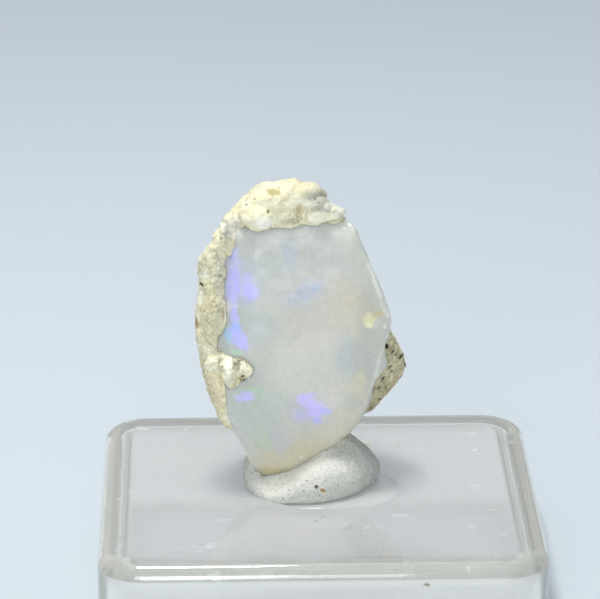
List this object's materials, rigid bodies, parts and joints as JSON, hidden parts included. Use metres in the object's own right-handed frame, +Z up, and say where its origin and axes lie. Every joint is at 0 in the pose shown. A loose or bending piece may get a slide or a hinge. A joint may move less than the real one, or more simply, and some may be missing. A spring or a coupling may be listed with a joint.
{
  "type": "rough opal specimen",
  "caption": "Rough opal in its host rock, pressed by its foot into putty on an upturned shallow clear box, so that it stands up for display.",
  "frame": {"origin": "middle of the box's footprint, at the level of the rim that it stands on", "axes": "+Z up. The opal's broken face looks towards -Y and leans back a little. +X to the right, as seen from the front"},
  "size_m": [0.032, 0.032, 0.0304],
  "materials": {
    "opal": "smooth conchoidal breaks, waxy to glassy, milky and translucent with patches of spectral colour",
    "host_rock": "rough and matt, chalky cream in front and tan-grey with dark pits behind",
    "mounting_putty": "soft white putty, matt, with fine dark specks",
    "display_box": "clear moulded plastic, glossy, with light scratches"
  },
  "bodies": {
    "root": {"opal": "opal", "host_rock": "host_rock", "mounting_putty": "mounting_putty", "display_box": "display_box"}
  },
  "joints": []
}
